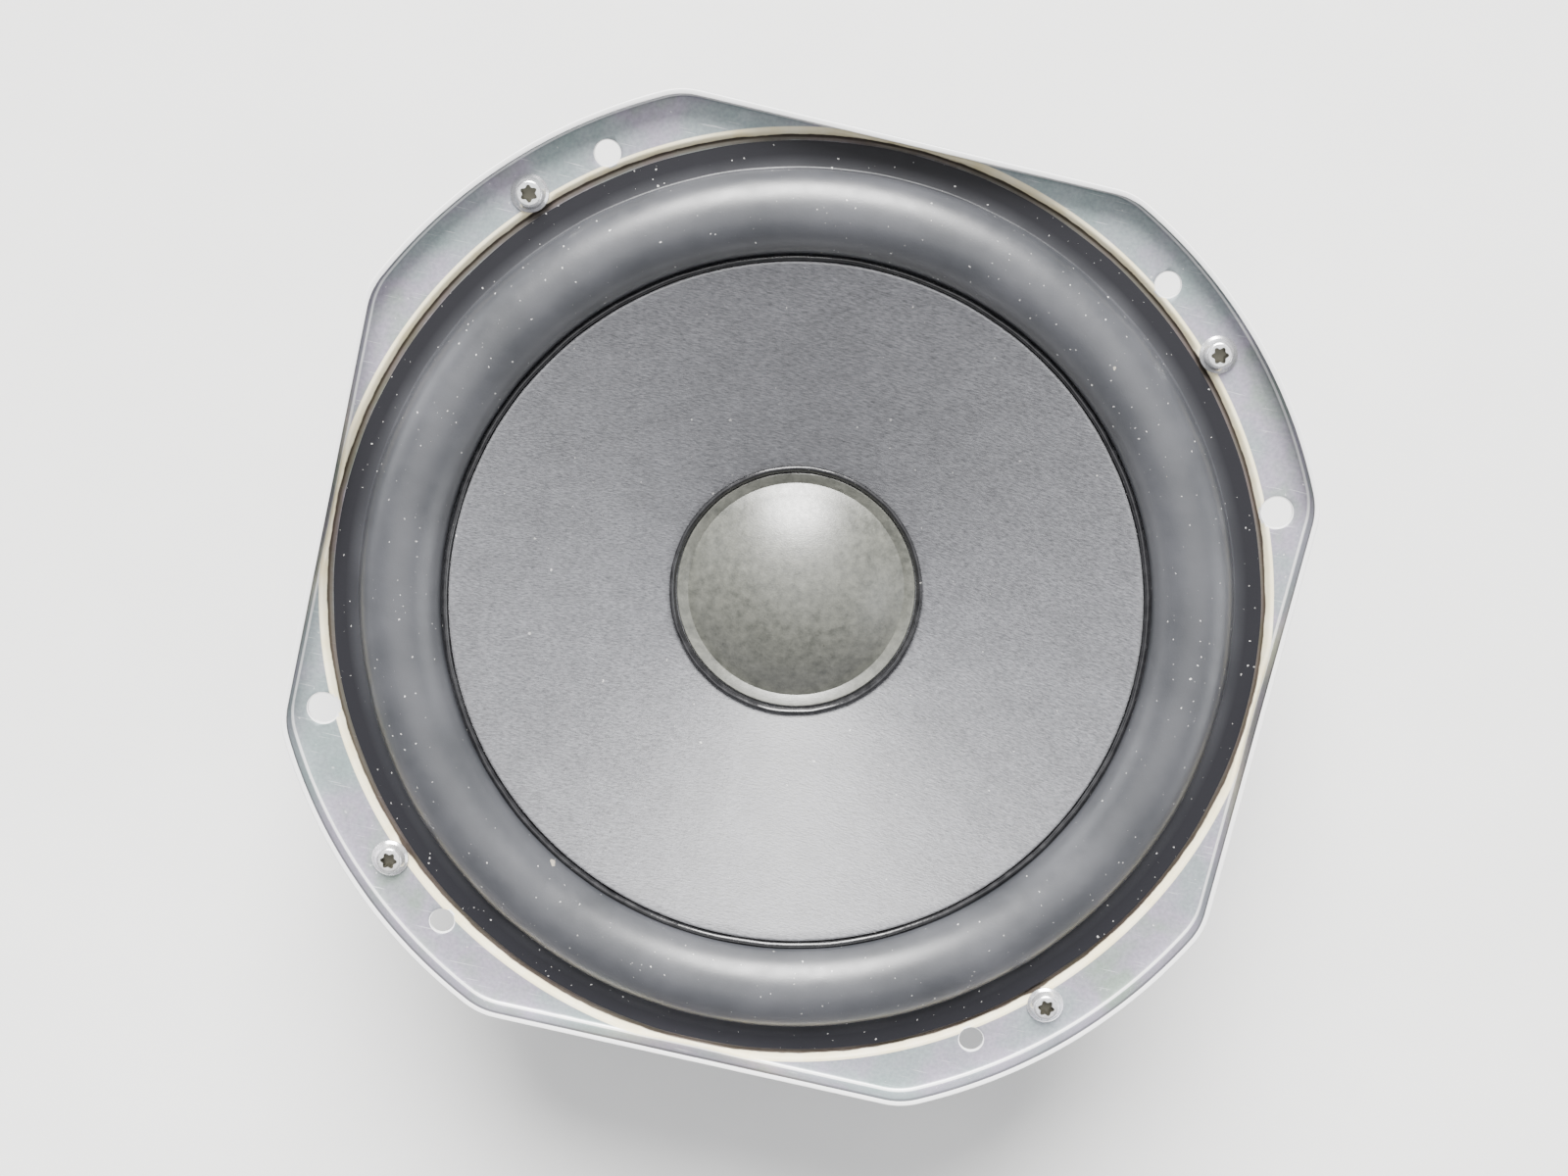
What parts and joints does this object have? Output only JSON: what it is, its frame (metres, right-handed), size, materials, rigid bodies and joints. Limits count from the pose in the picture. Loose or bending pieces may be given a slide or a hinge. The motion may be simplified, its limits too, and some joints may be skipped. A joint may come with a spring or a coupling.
{
  "type": "car subwoofer speaker",
  "caption": "Round-coned car subwoofer in a pressed steel basket with a four-lobed lipped flange, rubber half-roll surround, paper cone, domed dust cap and ring magnet motor.",
  "frame": {"origin": "on the axis of the cone, at the back face of the motor", "axes": "+Z out of the front of the cone; +X and +Y at the middles of two flats of the flange, with the terminals towards -Y"},
  "size_m": [0.229, 0.229, 0.0921],
  "materials": {
    "zinc_steel": "satin zinc plating with a warm bright bend at the step",
    "bright_zinc": "bright zinc plating",
    "plated_iron": "satin zinc plating on low carbon iron",
    "ferrite": "matt ground ceramic",
    "surround_rubber": "satin black rubber",
    "cone_paper": "felted charcoal paper fibre",
    "cap_fibre": "pressed olive grey paper with a satin seal coat",
    "black_glue": "glossy black adhesive",
    "former_foil": "amber film",
    "copper_wire": "lacquered copper wire",
    "kraft_paper": "brown paper tape",
    "spider_cloth": "resin-dipped woven cotton",
    "phenolic_board": "brown phenolic paper board",
    "tinned_brass": "tin plating",
    "tinsel_braid": "braided copper tinsel",
    "gasket_foam": "matt black closed-cell foam"
  },
  "bodies": {
    "frame": {"basket": "zinc_steel", "t_yoke": "plated_iron", "magnet": "ferrite", "top_plate": "plated_iron", "frame_rivet_1": "bright_zinc", "frame_rivet_2": "bright_zinc", "frame_rivet_3": "bright_zinc", "frame_rivet_4": "bright_zinc", "spider": "spider_cloth", "surround": "surround_rubber", "mounting_gasket": "gasket_foam", "mounting_screw_1": "bright_zinc", "mounting_screw_2": "bright_zinc", "mounting_screw_3": "bright_zinc", "mounting_screw_4": "bright_zinc", "terminal_board": "phenolic_board", "terminal_positive": "tinned_brass", "terminal_negative": "tinned_brass", "board_rivet_1": "tinned_brass", "board_rivet_2": "tinned_brass", "tinsel_lead_1": "tinsel_braid", "tinsel_lead_2": "tinsel_braid"},
    "moving_assembly": {"cone": "cone_paper", "dust_cap": "cap_fibre", "dust_cap_bead": "black_glue", "cone_edge_bead": "black_glue", "voice_coil_former": "former_foil", "voice_coil_winding": "copper_wire", "former_collar": "kraft_paper"}
  },
  "joints": [
    {"name": "cone_travel", "type": "slide", "parent": "frame", "child": "moving_assembly", "axis": [0, 0, 1], "range_m": [-0.009, 0.009], "stiffness_N_per_m": 3500, "deforming": ["surround", "spider", "tinsel_lead_1", "tinsel_lead_2"]}
  ]
}
